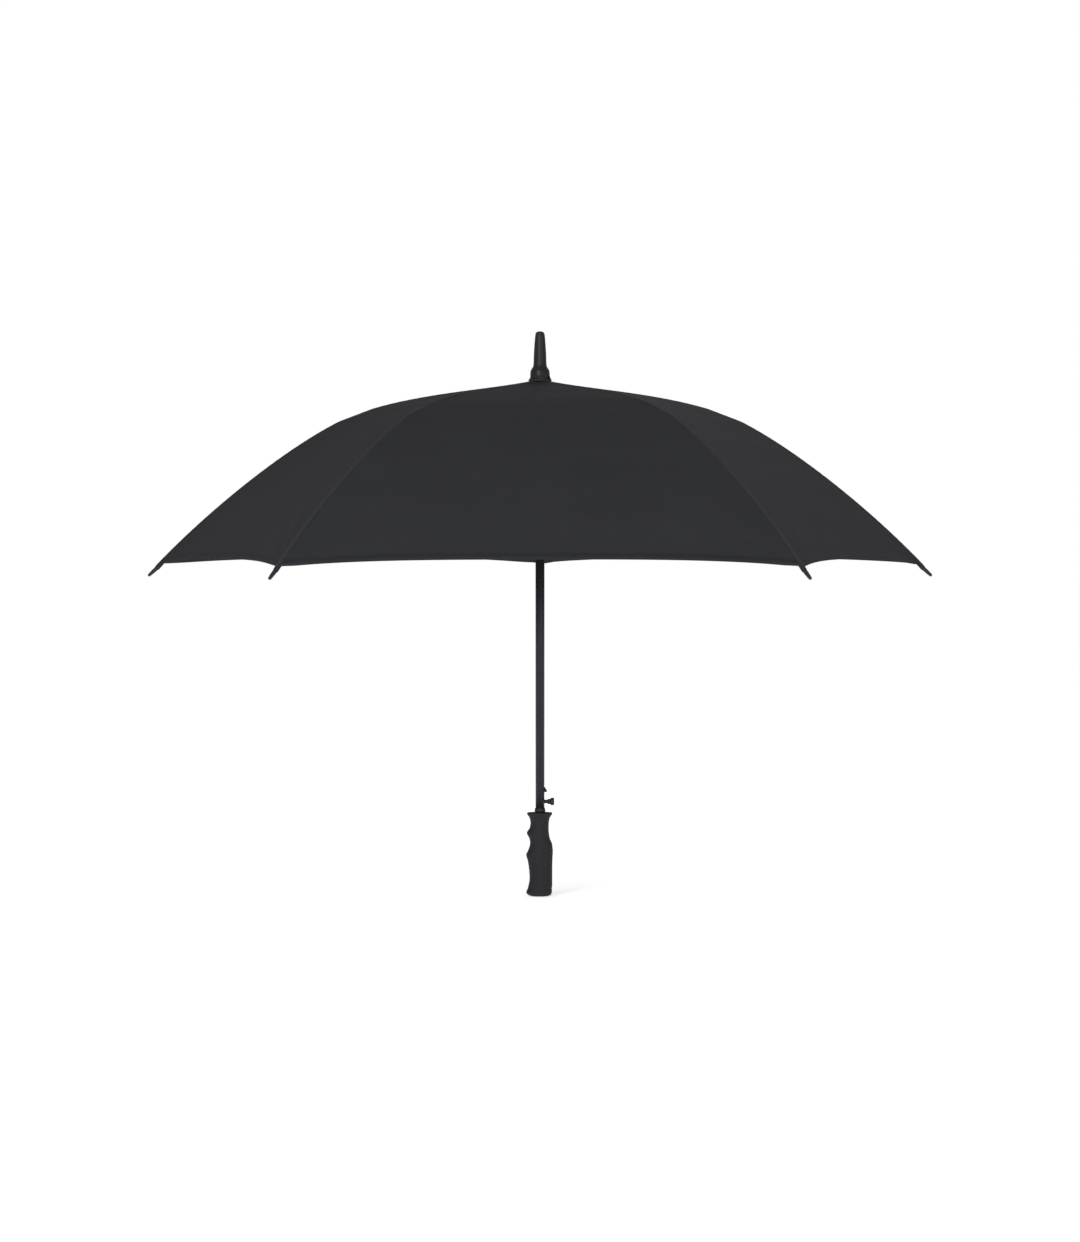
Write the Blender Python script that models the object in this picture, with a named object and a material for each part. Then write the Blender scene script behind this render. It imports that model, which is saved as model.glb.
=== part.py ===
"""Golf umbrella with five ribs, a sliding runner, a push-button release and a moulded grip.

Metres, +Z up. The origin is the centre of the grip's flat base, on the shaft's axis. The
release button points along +X and the middle of one gore faces -Y. Each rib and gore is drawn
once in its own sector, with x outward from the shaft, and is then turned to its azimuth.
"""

import math

import bmesh
import bpy
from mathutils import Matrix, Vector

# Gaps and counts
GAP = 0.0003
RIBS = 5
FIRST_RIB_AZIMUTH = math.radians(90)
SECTOR = 2 * math.pi / RIBS
HALF_SECTOR = SECTOR / 2

# Shaft, a round steel tube
SHAFT_RADIUS = 0.0072
SHAFT_BORE = 0.0062
SHAFT_BOTTOM = 0.012
SHAFT_TOP = 0.862

# Canopy section along a rib, as (radius, height): near the crown, over the joint, to the hem
CANOPY_INNER = ((0.012, 0.8245), (0.080, 0.8115), (0.190, 0.808), (0.286, 0.782))
CANOPY_OUTER = ((0.342, 0.7625), (0.430, 0.722), (0.560, 0.629), (0.663, 0.530))
FABRIC_DEPTH = 0.0010
HEM_RISE = 0.034
HEM_SHAPE = 3.4

# Ribs
ROD_RADIUS = 0.00175
ROD_DROP = 0.0044
CROWN_PIVOT = (0.010, 0.8205)
FLEX_GAP = 0.0012
TIP_START = 0.6632
TIP_LENGTH = 0.0200
TIP_RADIUS = 0.0034
EYE_RADIUS = 0.0020
EYE_HOLE = 0.00095
EYE_THICK = 0.0024

# Joint sleeves on the ribs, and the stretchers
SLEEVE_RADIUS = 0.0029
SLEEVE_MARGIN = 0.003
EAR_DROP = 0.0065
EAR_RADIUS = 0.0030
EAR_SIDE = (0.0010, 0.0030)
STRETCHER_SIDE = 0.0044
STRETCHER_SECTION = (0.0020, 0.0036)
STRETCHER_JOG = 0.030

# Runner and top notch, which both hold a wire ring
WIRE_RADIUS = 0.0006
RUNNER_PIVOT = (0.0105, 0.6297)
RUNNER_BOTTOM = 0.5995
RUNNER_TOP = 0.650
RUNNER_BORE = 0.0075
SLOT_WIDTH = 0.0044

# Catches and release button, on the +X side
BARB_REACH = 0.0114
BARB_THICK = 0.0024
UPPER_BARB_TOP = 0.5990
LOWER_BARB_TOP = 0.1774
BUTTON_HEIGHT = 0.1515
BUTTON_REACH = 0.0227
WINDOW_WIDTH = 0.0036

# Grip
GRIP_HEIGHT = 0.134
GRIP_BORE = 0.0102
LINER_BORE = 0.0075

# Ferrule
FERRULE_BASE = 0.8263
FERRULE_TOP = 0.9032
NOTCH_AZIMUTH = math.radians(258)


# ---------------------------------------------------------------- materials


def make_material(name, colour, roughness, metallic=0.0):
    material = bpy.data.materials.new(name)
    material.use_nodes = True
    shader = material.node_tree.nodes["Principled BSDF"]
    shader.inputs["Base Color"].default_value = (*colour, 1.0)
    shader.inputs["Roughness"].default_value = roughness
    shader.inputs["Metallic"].default_value = metallic
    material.diffuse_color = (*colour, 1.0)
    return material


# ---------------------------------------------------------------- building blocks


def finish_mesh(mesh):
    mesh.validate()
    mesh.shade_smooth()
    mesh.set_sharp_from_angle(angle=math.radians(35))
    return mesh


def mesh_from(name, points, faces):
    mesh = bpy.data.meshes.new(name)
    mesh.from_pydata([tuple(p) for p in points], [], faces)
    shape = bmesh.new()
    shape.from_mesh(mesh)
    bmesh.ops.recalc_face_normals(shape, faces=shape.faces)
    shape.to_mesh(mesh)
    shape.free()
    return finish_mesh(mesh)


def add_object(name, mesh, material, pivot=(0, 0, 0), azimuth=0.0):
    """A named object whose origin is its pivot, turned about the shaft to its azimuth."""
    if not mesh.materials:
        mesh.materials.append(material)
    thing = bpy.data.objects.new(name, mesh)
    bpy.context.scene.collection.objects.link(thing)
    thing.location = Matrix.Rotation(azimuth, 3, "Z") @ Vector(pivot)
    thing.rotation_euler = (0, 0, azimuth)
    return thing


def moved(mesh, matrix):
    mesh.transform(matrix)
    return mesh


def from_pivot(mesh, pivot):
    return moved(mesh, Matrix.Translation(-Vector(pivot)))


def turned(name, outline, sides=24):
    """A closed outline of (radius, height) points spun about Z. It may start and end on the axis."""
    on_axis = outline[0][0] == 0 and outline[-1][0] == 0
    ring = outline[1:-1] if on_axis else outline
    points = []
    for side in range(sides):
        angle = 2 * math.pi * side / sides
        points += [(r * math.cos(angle), r * math.sin(angle), z) for r, z in ring]
    count = len(ring)
    faces = []
    for side in range(sides):
        here, after = side * count, (side + 1) % sides * count
        for i in range(count - 1 if on_axis else count):
            j = (i + 1) % count
            faces.append((here + i, after + i, after + j, here + j))
    if on_axis:
        points += [(0, 0, outline[0][1]), (0, 0, outline[-1][1])]
        first, last = len(points) - 2, len(points) - 1
        for side in range(sides):
            here, after = side * count, (side + 1) % sides * count
            faces.append((first, after, here))
            faces.append((last, here + count - 1, after + count - 1))
    return mesh_from(name, points, faces)


def swept(name, path, section, up=Vector((0, 0, 1))):
    """A closed bar: a list of (across, upward) section points carried along a path."""
    rings = []
    for i, at in enumerate(path):
        before, after = path[max(i - 1, 0)], path[min(i + 1, len(path) - 1)]
        along = (after - before).normalized()
        across = up.cross(along).normalized()
        over = along.cross(across)
        rings.append([at + across * a + over * b for a, b in section])
    return lofted(name, rings)


def lofted(name, rings):
    """A closed body through rings of equal numbers of points, capped at both ends."""
    count = len(rings[0])
    points = [p for ring in rings for p in ring]
    faces = [tuple(range(count))[::-1]]
    for i in range(len(rings) - 1):
        for j in range(count):
            k = (j + 1) % count
            faces.append((i * count + j, i * count + k, (i + 1) * count + k, (i + 1) * count + j))
    faces.append(tuple(range(len(points) - count, len(points))))
    return mesh_from(name, points, faces)


def round_section(radius, sides=8):
    angles = [2 * math.pi * (i + 0.5) / sides for i in range(sides)]
    return [(radius * math.cos(a), radius * math.sin(a)) for a in angles]


def box_section(width, height):
    return [(width / 2, -height / 2), (width / 2, height / 2), (-width / 2, height / 2), (-width / 2, -height / 2)]


def plate(name, outline, low, high):
    """An outline of (x, z) points made solid from y = low to y = high."""
    return lofted(name, [[Vector((x, y, z)) for x, z in outline] for y in (low, high)])


def disc_outline(centre, radius, sides=14):
    angles = [2 * math.pi * i / sides for i in range(sides)]
    return [(centre[0] + radius * math.cos(a), centre[1] + radius * math.sin(a)) for a in angles]


def box_mesh(name, low, high):
    outline = [(low[0], low[2]), (high[0], low[2]), (high[0], high[2]), (low[0], high[2])]
    return plate(name, outline, low[1], high[1])


def combined(mesh, *steps):
    """The mesh after exact Booleans. Each step is (UNION or DIFFERENCE, other mesh)."""
    body = bpy.data.objects.new("body", mesh)
    bpy.context.scene.collection.objects.link(body)
    helpers = []
    for operation, other in steps:
        helper = bpy.data.objects.new("helper", other)
        bpy.context.scene.collection.objects.link(helper)
        helpers.append(helper)
        cut = body.modifiers.new("boolean", "BOOLEAN")
        cut.operation = operation
        cut.solver = "EXACT"
        cut.object = helper
    graph = bpy.context.evaluated_depsgraph_get()
    result = bpy.data.meshes.new_from_object(body.evaluated_get(graph), depsgraph=graph)
    for thing in [body, *helpers]:
        bpy.data.objects.remove(thing)
    result.name = mesh.name
    result.materials.clear()
    return finish_mesh(result)


# ---------------------------------------------------------------- the canopy's section


def bezier(ends, t):
    a, b, c, d = (Vector((x, 0, z)) for x, z in ends)
    s = 1 - t
    at = a * s**3 + b * (3 * s * s * t) + c * (3 * s * t * t) + d * t**3
    along = (b - a) * (3 * s * s) + (c - b) * (6 * s * t) + (d - c) * (3 * t * t)
    return at, along.normalized()


def inner_points(count):
    return [bezier(CANOPY_INNER, i / count) for i in range(count + 1)]


def outer_points(count, end=1.0):
    return [bezier(CANOPY_OUTER, end * i / count) for i in range(count + 1)]


def dropped(at, along, distance):
    """A point below the canopy, square to its slope."""
    return at + Vector((along.z, 0, -along.x)) * distance


def joint_line():
    start = Vector((CANOPY_INNER[-1][0], 0, CANOPY_INNER[-1][1]))
    end = Vector((CANOPY_OUTER[0][0], 0, CANOPY_OUTER[0][1]))
    return start, end, (end - start).normalized()


JOINT_START, JOINT_END, JOINT_WAY = joint_line()
FLEX_PIVOT = dropped(JOINT_END, JOINT_WAY, ROD_DROP)
EAR_POINT = dropped((JOINT_START + JOINT_END) / 2, JOINT_WAY, ROD_DROP + EAR_DROP)


# ---------------------------------------------------------------- shaft and crown


def shaft_mesh():
    outline = [
        (SHAFT_BORE, SHAFT_BOTTOM),
        (SHAFT_RADIUS, SHAFT_BOTTOM),
        (SHAFT_RADIUS, SHAFT_TOP),
        (SHAFT_BORE, SHAFT_TOP),
    ]
    windows = []
    spans = (
        (UPPER_BARB_TOP - 0.0186, UPPER_BARB_TOP + 0.0010),
        (LOWER_BARB_TOP - 0.0116, LOWER_BARB_TOP + 0.0010),
        (BUTTON_HEIGHT - 0.0042, BUTTON_HEIGHT + 0.0042),
    )
    for low, high in spans:
        half = WINDOW_WIDTH / 2
        windows.append(("DIFFERENCE", box_mesh("window", (0.003, -half, low), (0.012, half, high))))
    return combined(turned("shaft_tube", outline, 32), *windows)


def notched_ring(name, outline, wire_ring, slot_low, slot_high, slot_from):
    """A turned hub with one radial slot for each rib, cut from slot_from outward."""
    slots = []
    for rib in range(RIBS):
        half = SLOT_WIDTH / 2
        slot = box_mesh("slot", (slot_from, -half, slot_low), (0.03, half, slot_high))
        turn = Matrix.Rotation(FIRST_RIB_AZIMUTH + SECTOR * rib, 4, "Z")
        slots.append(("DIFFERENCE", moved(slot, turn)))
    return combined(turned(name, outline, 30), *slots)


def groove(radius, height):
    """The outline points of a groove that holds a wire ring and opens outward."""
    half = WIRE_RADIUS + GAP
    floor = radius - WIRE_RADIUS - GAP
    return floor, height - half, height + half


def top_notch_mesh():
    floor, low, high = groove(*CROWN_PIVOT)
    outline = [
        (SHAFT_RADIUS + GAP, 0.8125),
        (0.0088, 0.8125),
        (0.0125, 0.8150),
        (0.0125, low),
        (floor, low),
        (floor, high),
        (0.0125, high),
        (0.0125, 0.8219),
        (0.0118, 0.8223),
        (SHAFT_RADIUS + GAP, 0.8223),
    ]
    return notched_ring("top_notch", outline, CROWN_PIVOT, 0.80, 0.83, 0.0078)


def wire_mesh(name, radius, height):
    outline = [(radius + x, height + z) for x, z in round_section(WIRE_RADIUS, 6)]
    return turned(name, outline, 40)


def rosette_mesh():
    """The stiff washer that clamps the top of the canopy under the ferrule."""
    outline = [
        (SHAFT_RADIUS + GAP, 0.8249),
        (0.0120, 0.8249),
        (0.0190, 0.8237),
        (0.0192, 0.8243),
        (0.0180, 0.8258),
        (SHAFT_RADIUS + GAP, 0.8260),
    ]
    return turned("canopy_rosette", outline, 30)


def ferrule_mesh():
    """A tapered point on a bell, hollow over the shaft, with notches round the bell's rim."""
    base = FERRULE_BASE
    inside = SHAFT_RADIUS + GAP
    outline = [
        (0, FERRULE_TOP),
        (0.0034, FERRULE_TOP - 0.0003),
        (0.0058, FERRULE_TOP - 0.0014),
        (0.0073, FERRULE_TOP - 0.0040),
        (0.0081, FERRULE_TOP - 0.0106),
        (0.0091, FERRULE_TOP - 0.0232),
        (0.0099, FERRULE_TOP - 0.0362),
        (0.0103, FERRULE_TOP - 0.0510),
        (0.0109, FERRULE_TOP - 0.0560),
        (0.0126, FERRULE_TOP - 0.0588),
        (0.0146, FERRULE_TOP - 0.0618),
        (0.0154, FERRULE_TOP - 0.0650),
        (0.0157, base + 0.0060),
        (0.0168, base + 0.0024),
        (0.0184, base),
        (0.0128, base),
        (0.0120, base + 0.0100),
        (inside, base + 0.0100),
        (inside, SHAFT_TOP + GAP),
        (0, SHAFT_TOP + GAP),
    ]
    notches = []
    for side in range(RIBS):
        notch = box_mesh("notch", (0.0135, -0.0058, base - 0.002), (0.022, 0.0058, base + 0.0058))
        turn = Matrix.Rotation(NOTCH_AZIMUTH + SECTOR * side, 4, "Z")
        notches.append(("DIFFERENCE", moved(notch, turn)))
    return combined(turned("ferrule", outline, 36), *notches)


# ---------------------------------------------------------------- ribs


def eyelet_steps(pivot, reach):
    """A flat eye round a wire ring and a neck that runs into the rod, then the eye's hole."""
    half = EYE_THICK / 2
    eye = plate("eye", disc_outline(pivot, EYE_RADIUS), -half, half)
    way = (reach - Vector((pivot[0], 0, pivot[1]))).normalized()
    side = Vector((-way.z, 0, way.x)) * 0.0012
    start = Vector((pivot[0], 0, pivot[1])) + way * (EYE_HOLE + 0.0006)
    corners = [start - side, reach - side, reach + side, start + side]
    neck = plate("neck", [(c.x, c.z) for c in corners], -half * 0.97, half * 0.97)
    hole = plate("hole", disc_outline(pivot, EYE_HOLE, 12), -0.004, 0.004)
    return ("UNION", eye), ("UNION", neck), ("DIFFERENCE", hole)


def rib_inner_mesh():
    path = [dropped(at, along, ROD_DROP) for at, along in inner_points(9)[1:]]
    path = [p for p in path if p.x > CROWN_PIVOT[0] + 0.006]
    path.append(FLEX_PIVOT - JOINT_WAY * (FLEX_GAP / 2))
    rod = swept("rib_inner", path, round_section(ROD_RADIUS))
    reach = path[0] + (path[1] - path[0]).normalized() * 0.003
    return combined(rod, *eyelet_steps(CROWN_PIVOT, reach))


def rib_outer_mesh():
    points = outer_points(10)
    first = points[0][1]
    path = [FLEX_PIVOT + (FLEX_GAP / 2) * first]
    path += [dropped(at, along, ROD_DROP) for at, along in points[1:]]
    end, way = tip_line()
    path.append(end + way * (TIP_LENGTH * 0.5))
    return swept("rib_outer", path, round_section(ROD_RADIUS))


def tip_line():
    """Where the plastic tip starts on the rod, and the way it points."""
    at, along = bezier(CANOPY_OUTER, 1.0)
    end = dropped(at, along, ROD_DROP)
    way = Vector((0.020, 0, -0.0170)).normalized()
    return end + way * ((TIP_START - end.x) / way.x), way


def rib_tip_mesh():
    start, way = tip_line()
    bore = ROD_RADIUS + GAP
    outline = [
        (bore, 0),
        (TIP_RADIUS, 0),
        (TIP_RADIUS, 0.006),
        (0.0028, TIP_LENGTH - 0.004),
        (0.0023, TIP_LENGTH - 0.0010),
        (0.0013, TIP_LENGTH),
        (0, TIP_LENGTH),
        (0, TIP_LENGTH * 0.5 + GAP),
        (bore, TIP_LENGTH * 0.5 + GAP),
    ]
    closed = [outline[6], outline[5], outline[4], outline[3], outline[2], outline[1], outline[0], outline[8], outline[7]]
    mesh = turned("rib_tip", closed, 12)
    mesh.transform(way.to_track_quat("Z", "Y").to_matrix().to_4x4())
    return moved(mesh, Matrix.Translation(start))


def rib_joint_mesh():
    """The sleeve crimped on the rod, with the ear that carries the stretcher."""
    start = dropped(JOINT_START, JOINT_WAY, ROD_DROP) + JOINT_WAY * SLEEVE_MARGIN
    end = FLEX_PIVOT - JOINT_WAY * SLEEVE_MARGIN
    length = (end - start).length
    bore = ROD_RADIUS + GAP
    chamfer = 0.0006
    outline = [
        (bore, 0),
        (SLEEVE_RADIUS - chamfer / 2, 0),
        (SLEEVE_RADIUS, chamfer),
        (SLEEVE_RADIUS, length - chamfer),
        (SLEEVE_RADIUS - chamfer / 2, length),
        (bore, length),
    ]
    sleeve = turned("rib_joint", outline, 12)
    sleeve.transform(JOINT_WAY.to_track_quat("Z", "Y").to_matrix().to_4x4())
    moved(sleeve, Matrix.Translation(start))
    ear = plate("ear", disc_outline((EAR_POINT.x, EAR_POINT.z), EAR_RADIUS), *EAR_SIDE)
    top = dropped(EAR_POINT, JOINT_WAY, -(EAR_DROP - 0.0023))
    low = dropped(EAR_POINT, JOINT_WAY, 0.0005)
    reach = JOINT_WAY * 0.0026
    web = [top - reach * 1.6, low - reach, low + reach, top + reach * 1.6]
    web_plate = plate("web", [(c.x, c.z) for c in web], EAR_SIDE[0] + 0.00005, EAR_SIDE[1] - 0.00005)
    return combined(sleeve, ("UNION", web_plate), ("UNION", ear))


def stretcher_mesh():
    """A bar from the runner's wire ring, past the rod's side, to the joint sleeve's ear."""
    inner = Vector((RUNNER_PIVOT[0], 0, RUNNER_PIVOT[1]))
    way = (EAR_POINT - inner).normalized()
    side = Vector((0, STRETCHER_SIDE, 0))
    path = [
        inner + way * 0.005,
        inner + way * 0.010,
        inner + way * STRETCHER_JOG + side,
        inner + way * (STRETCHER_JOG + 0.010) + side,
        EAR_POINT + side,
    ]
    up = Vector((-way.z, 0, way.x))
    bar = swept("stretcher", path, box_section(*STRETCHER_SECTION), up)
    half = STRETCHER_SECTION[0] / 2
    near, far = STRETCHER_SIDE - half - 0.0001, STRETCHER_SIDE + half + 0.0001
    end = plate("end", disc_outline((EAR_POINT.x, EAR_POINT.z), EAR_RADIUS), near, far)
    head = plate("head", disc_outline((EAR_POINT.x, EAR_POINT.z), 0.0017, 10), far - 0.0005, far + 0.0008)
    return combined(bar, ("UNION", end), ("UNION", head), *eyelet_steps(RUNNER_PIVOT, path[0] + way * 0.003))


# ---------------------------------------------------------------- runner


def runner_mesh():
    floor, low, high = groove(*RUNNER_PIVOT)
    height = RUNNER_PIVOT[1]
    outline = [
        (RUNNER_BORE, RUNNER_BOTTOM),
        (0.0099, RUNNER_BOTTOM),
        (0.0102, RUNNER_BOTTOM + 0.0010),
        (0.0097, height - 0.0080),
        (0.0101, height - 0.0055),
        (0.0131, height - 0.0046),
        (0.0131, low),
        (floor, low),
        (floor, high),
        (0.0131, high),
        (0.0131, height + 0.0040),
        (0.0092, height + 0.0046),
        (0.0088, height + 0.0060),
        (0.0087, RUNNER_TOP),
        (RUNNER_BORE, RUNNER_TOP),
    ]
    ring = notched_ring("runner", outline, RUNNER_PIVOT, height - 0.0038, height + 0.03, 0.0083)
    half = WINDOW_WIDTH / 2
    low_window, high_window = RUNNER_BOTTOM + 0.0088, RUNNER_BOTTOM + 0.0212
    window = box_mesh("window", (0.004, -half, low_window), (0.015, half, high_window))
    return combined(ring, ("DIFFERENCE", window))


# ---------------------------------------------------------------- catches and release button


def barb_outline(top, flat_side_up, leaf_length):
    """A spring leaf inside the shaft with a barb through its wall."""
    height = 0.0108
    inside, wall = 0.0030, 0.0056
    if flat_side_up:
        return [
            (inside, top),
            (BARB_REACH - 0.0006, top),
            (BARB_REACH, top - 0.0010),
            (BARB_REACH - 0.0008, top - 0.0036),
            (wall, top - height),
            (wall, top - leaf_length),
            (inside, top - leaf_length),
        ]
    bottom = top - height
    return [
        (inside, top),
        (wall, top),
        (BARB_REACH - 0.0008, bottom + 0.0036),
        (BARB_REACH, bottom + 0.0010),
        (BARB_REACH - 0.0006, bottom),
        (wall, bottom),
        (wall, top - leaf_length),
        (inside, top - leaf_length),
    ]


def release_button_mesh():
    """A flat stem through the shaft's wall, then a round boss and a broad head."""
    half = 0.0016
    stem = [
        (0.0064, BUTTON_HEIGHT - 0.0030),
        (0.0150, BUTTON_HEIGHT - 0.0026),
        (0.0150, BUTTON_HEIGHT + 0.0026),
        (0.0064, BUTTON_HEIGHT + 0.0030),
    ]
    base = plate("release_button", stem, -half, half)
    outline = [
        (0, 0.0122),
        (0.0038, 0.0122),
        (0.0042, 0.0127),
        (0.0040, 0.0164),
        (0.0056, 0.0172),
        (0.0061, 0.0182),
        (0.0060, BUTTON_REACH - 0.0010),
        (0.0050, BUTTON_REACH),
        (0, BUTTON_REACH),
    ]
    head = turned("head", outline[::-1], 16)
    head.transform(Matrix.Rotation(math.radians(90), 4, "Y"))
    moved(head, Matrix.Translation((0, 0, BUTTON_HEIGHT)))
    return combined(base, ("UNION", head))


def button_collar_mesh():
    """The moulded ring round the shaft that guides the button's stem."""
    low, high = GRIP_HEIGHT + 0.0008, GRIP_HEIGHT + 0.0068
    inside = SHAFT_RADIUS + GAP
    outline = [
        (inside, low),
        (0.0084, low),
        (0.0087, low + 0.0010),
        (0.0084, high - 0.0008),
        (0.0079, high),
        (inside, high),
    ]
    return turned("shaft_collar", outline, 24)


# ---------------------------------------------------------------- grip

# Heights with the reach towards -X (fingers), towards +X (palm) and sideways, from the base up
GRIP_SHAPE = (
    (0.0000, 0.0135, 0.0125, 0.0115),
    (0.0012, 0.0174, 0.0162, 0.0146),
    (0.0034, 0.0208, 0.0182, 0.0162),
    (0.0064, 0.0221, 0.0190, 0.0168),
    (0.0130, 0.0196, 0.0192, 0.0162),
    (0.0260, 0.0169, 0.0193, 0.0155),
    (0.0400, 0.0173, 0.0193, 0.0155),
    (0.0560, 0.0195, 0.0195, 0.0159),
    (0.0665, 0.0221, 0.0201, 0.0163),
    (0.0730, 0.0192, 0.0203, 0.0161),
    (0.0830, 0.0161, 0.0196, 0.0155),
    (0.0920, 0.0170, 0.0160, 0.0149),
    (0.1015, 0.0211, 0.0143, 0.0151),
    (0.1090, 0.0168, 0.0139, 0.0147),
    (0.1180, 0.0153, 0.0143, 0.0146),
    (0.1260, 0.0172, 0.0160, 0.0157),
    (0.1310, 0.0205, 0.0194, 0.0184),
    (0.1330, 0.0207, 0.0197, 0.0188),
    (GRIP_HEIGHT, 0.0197, 0.0187, 0.0179),
)


def smooth_between(table, height):
    """A Catmull-Rom curve through the table's columns at a height."""
    last = len(table) - 1
    i = max(k for k in range(last) if table[k][0] <= height)
    a, b, c, d = (table[min(max(k, 0), last)] for k in (i - 1, i, i + 1, i + 2))
    t = (height - b[0]) / (c[0] - b[0])
    values = []
    for k in range(1, len(b)):
        rise_b = (c[k] - a[k]) / (c[0] - a[0]) * (c[0] - b[0])
        rise_c = (d[k] - b[k]) / (d[0] - b[0]) * (c[0] - b[0])
        ease = t * t * (3 - 2 * t)
        bend_b, bend_c = t * (1 - t) ** 2, -t * t * (1 - t)
        values.append(b[k] + (c[k] - b[k]) * ease + rise_b * bend_b + rise_c * bend_c)
    return values


def grip_mesh():
    heights = []
    for (low, *_), (high, *_) in zip(GRIP_SHAPE, GRIP_SHAPE[1:]):
        heights += [low, (low + high) / 2]
    heights.append(GRIP_HEIGHT)
    rings = []
    sides = 24
    for height in heights:
        fingers, palm, across = smooth_between(GRIP_SHAPE, min(height, GRIP_HEIGHT - 1e-9))
        ring = []
        for side in range(sides):
            angle = 2 * math.pi * side / sides
            reach = palm if math.cos(angle) > 0 else fingers
            ring.append(Vector((reach * math.cos(angle), across * math.sin(angle), height)))
        rings.append(ring)
    bore = turned("bore", [(0, GRIP_HEIGHT + 0.01), (GRIP_BORE, GRIP_HEIGHT + 0.01), (GRIP_BORE, 0.006), (0, 0.006)])
    return combined(lofted("grip", rings), ("DIFFERENCE", bore))


def liner_mesh():
    """The stiff sleeve inside the grip that takes the shaft."""
    outer = GRIP_BORE - GAP
    top = GRIP_HEIGHT - 0.0004
    outline = [
        (LINER_BORE, SHAFT_BOTTOM),
        (LINER_BORE, top),
        (outer, top),
        (outer, SHAFT_BOTTOM),
    ]
    return turned("grip_liner", outline[::-1], 24)


def shaft_plug_mesh():
    outline = [
        (0, 0.0063),
        (GRIP_BORE - GAP, 0.0063),
        (GRIP_BORE - GAP, SHAFT_BOTTOM - GAP),
        (SHAFT_BORE - GAP, SHAFT_BOTTOM - GAP),
        (SHAFT_BORE - GAP, 0.030),
        (0, 0.030),
    ]
    return turned("shaft_plug", outline[::-1], 20)


# ---------------------------------------------------------------- canopy


def shell(name, top):
    """A thin solid below a grid of top points, given as rows of equal length."""
    rows, columns = len(top), len(top[0])
    drop = Vector((0, 0, -FABRIC_DEPTH))
    points = [p for row in top for p in row]
    points += [p + drop for row in top for p in row]
    under = rows * columns
    faces = []
    for i in range(rows - 1):
        for j in range(columns - 1):
            a, b = i * columns + j, (i + 1) * columns + j
            faces.append((a, b, b + 1, a + 1))
            faces.append((under + a, under + a + 1, under + b + 1, under + b))
    rim = [j for j in range(columns)]
    rim += [i * columns + columns - 1 for i in range(1, rows)]
    rim += [(rows - 1) * columns + j for j in range(columns - 2, -1, -1)]
    rim += [i * columns for i in range(rows - 2, 0, -1)]
    for here, after in zip(rim, rim[1:] + rim[:1]):
        faces.append((here, after, under + after, under + here))
    return mesh_from(name, points, faces)


def gore_point(at, share):
    """A point of a gore, level between two ribs: share runs from -1 at one rib to 1 at the next."""
    half_width = at.x * math.sin(HALF_SECTOR) - GAP / 2 / math.cos(HALF_SECTOR)
    return Vector((at.x * math.cos(HALF_SECTOR), share * half_width, at.z))


def gore_inner_mesh():
    stations = [at for at, _ in inner_points(7)]
    stations.append(JOINT_END - JOINT_WAY * (GAP / 2))
    return shell("gore_inner", [[gore_point(at, share) for share in (-1, 0, 1)] for at in stations])


def gore_outer_mesh():
    columns, rows = 12, 8
    shares = [2 * j / columns - 1 for j in range(columns + 1)]
    first = GAP / 2 / (CANOPY_OUTER[-1][0] - CANOPY_OUTER[0][0])
    grid = []
    for i in range(rows + 1):
        row = []
        for share in shares:
            end = 1 - HEM_RISE * (1 - abs(share) ** HEM_SHAPE)
            t = first + (end - first) * i / rows
            row.append(gore_point(bezier(CANOPY_OUTER, t)[0], share))
        grid.append(row)
    return shell("gore_outer", grid)


# ---------------------------------------------------------------- the whole umbrella


def pivot_of(point):
    return (point[0], 0, point[-1])


def build_fixed_parts(paint):
    add_object("shaft_tube", shaft_mesh(), paint["steel"])
    add_object("top_notch", top_notch_mesh(), paint["plastic"])
    add_object("top_notch_wire", wire_mesh("top_notch_wire", *CROWN_PIVOT), paint["steel"])
    add_object("canopy_rosette", rosette_mesh(), paint["fabric"])
    add_object("ferrule", ferrule_mesh(), paint["plastic"])
    add_object("grip", grip_mesh(), paint["rubber"])
    add_object("grip_liner", liner_mesh(), paint["plastic"])
    add_object("shaft_plug", shaft_plug_mesh(), paint["plastic"])
    add_object("shaft_collar", button_collar_mesh(), paint["plastic"])


def build_runner(paint):
    pivot = (0, 0, RUNNER_PIVOT[1])
    add_object("runner", from_pivot(runner_mesh(), pivot), paint["plastic"], pivot)
    wire = wire_mesh("runner_wire", *RUNNER_PIVOT)
    add_object("runner_wire", from_pivot(wire, pivot), paint["steel"], pivot)


def build_catches(paint):
    half = BARB_THICK / 2
    upper = plate("upper_catch", barb_outline(UPPER_BARB_TOP, True, 0.030), -half, half)
    lower = plate("lower_catch", barb_outline(LOWER_BARB_TOP, False, 0.0290), -half, half)
    upper_pivot, lower_pivot = (0, 0, UPPER_BARB_TOP), (0, 0, BUTTON_HEIGHT)
    add_object("upper_catch", from_pivot(upper, upper_pivot), paint["steel"], upper_pivot)
    add_object("lower_catch", from_pivot(lower, lower_pivot), paint["steel"], lower_pivot)
    button = from_pivot(release_button_mesh(), lower_pivot)
    add_object("release_button", button, paint["plastic"], lower_pivot)


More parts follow.
